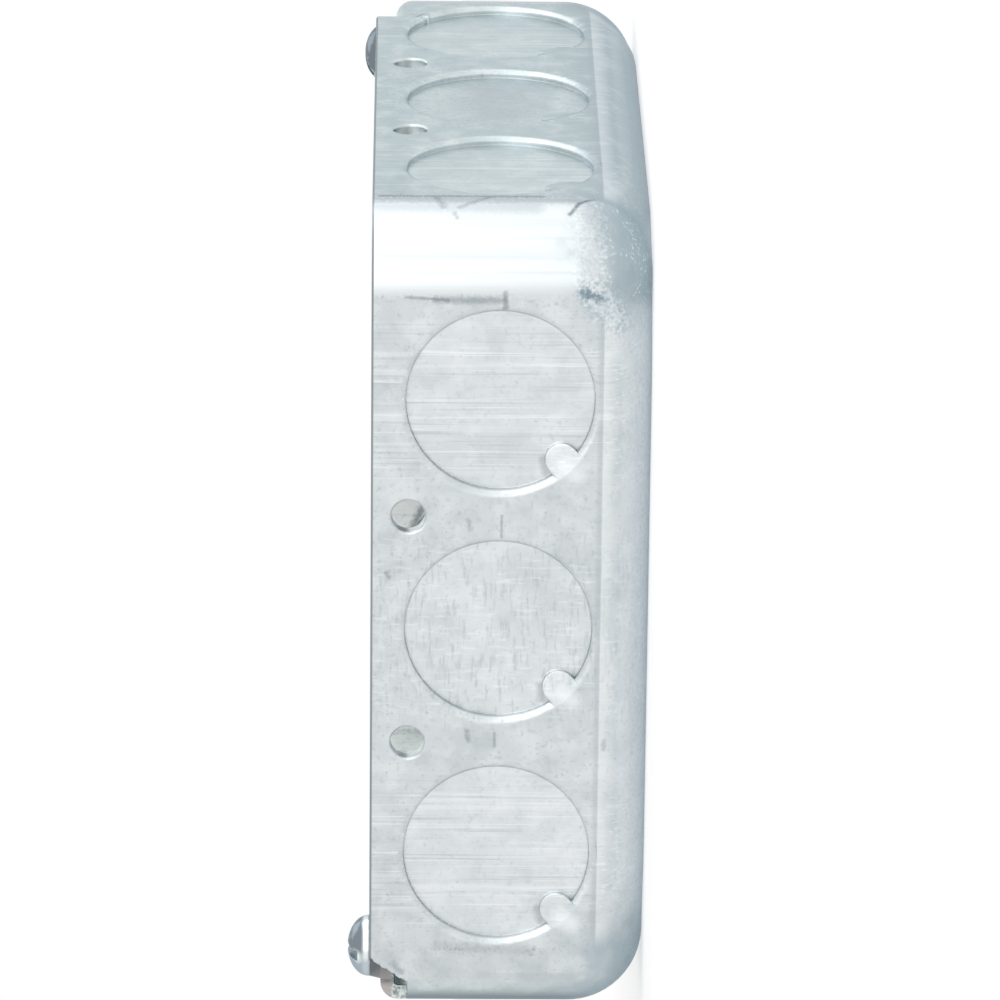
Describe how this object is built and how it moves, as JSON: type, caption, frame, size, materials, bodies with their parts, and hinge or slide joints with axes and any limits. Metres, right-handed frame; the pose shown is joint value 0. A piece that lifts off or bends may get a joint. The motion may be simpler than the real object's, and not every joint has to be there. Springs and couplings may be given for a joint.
{
  "type": "square outlet box",
  "caption": "Shallow square sheet-steel wiring box with round knockouts in its walls and back, folded corner ears and cover screws.",
  "frame": {"origin": "middle of the back's flat outer face, with the box lying on its back", "axes": "+Z out of the open front, +X and +Y square to the side walls, with the ears at the -X -Y and +X +Y corners"},
  "size_m": [0.1016, 0.1016, 0.0356],
  "materials": {
    "galvanised_sheet_steel": "hot-dip galvanised, drawn",
    "zinc_plated_screw_steel": "bright zinc plated"
  },
  "bodies": {
    "root": {"box_body": "galvanised_sheet_steel", "cover_screws": "zinc_plated_screw_steel"}
  },
  "joints": []
}
